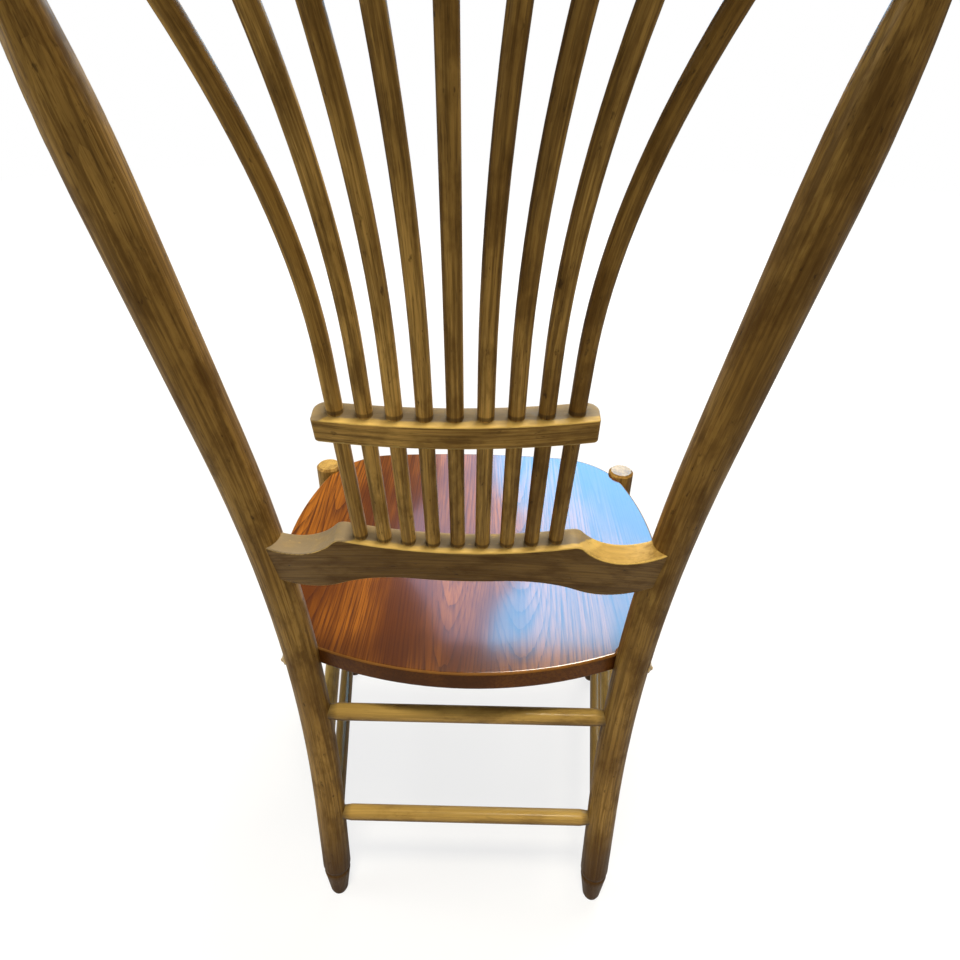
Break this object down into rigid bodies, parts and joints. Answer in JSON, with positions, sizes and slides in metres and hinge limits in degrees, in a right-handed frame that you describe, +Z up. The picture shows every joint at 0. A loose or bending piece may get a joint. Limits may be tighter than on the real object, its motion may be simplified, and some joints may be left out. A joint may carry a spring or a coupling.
{
  "type": "dining chair",
  "caption": "Wooden dining chair with a dished plank seat, bent rear posts, turned rungs and a wheat back of fanned spindles gathered by a tie bar.",
  "frame": {"origin": "on the floor, under the middle of the chair's box", "axes": "+Z up, -Y the way a sitter faces, +X to the sitter's left"},
  "size_m": [0.472, 0.5763, 1.073],
  "materials": {
    "frame_wood": "golden brown glaze, satin",
    "seat_wood": "red brown stain, gloss varnish",
    "plug_wood": "pale golden, satin",
    "screw_steel": "plain steel"
  },
  "bodies": {
    "root": {"seat": "seat_wood", "rear_post_left": "frame_wood", "rear_post_right": "frame_wood", "front_leg_left": "frame_wood", "front_leg_right": "frame_wood", "crest_rail": "frame_wood", "lower_back_rail": "frame_wood", "tie_bar": "frame_wood", "spindle_1": "frame_wood", "spindle_2": "frame_wood", "spindle_3": "frame_wood", "spindle_4": "frame_wood", "spindle_5": "frame_wood", "spindle_6": "frame_wood", "spindle_7": "frame_wood", "spindle_8": "frame_wood", "spindle_9": "frame_wood", "rear_rung_upper": "frame_wood", "rear_rung_lower": "frame_wood", "side_rung_left_upper": "frame_wood", "side_rung_left_lower": "frame_wood", "side_rung_right_upper": "frame_wood", "side_rung_right_lower": "frame_wood", "front_rung_upper": "frame_wood", "front_rung_lower": "frame_wood", "button_plugs": "plug_wood", "seat_screws": "screw_steel"}
  },
  "joints": []
}
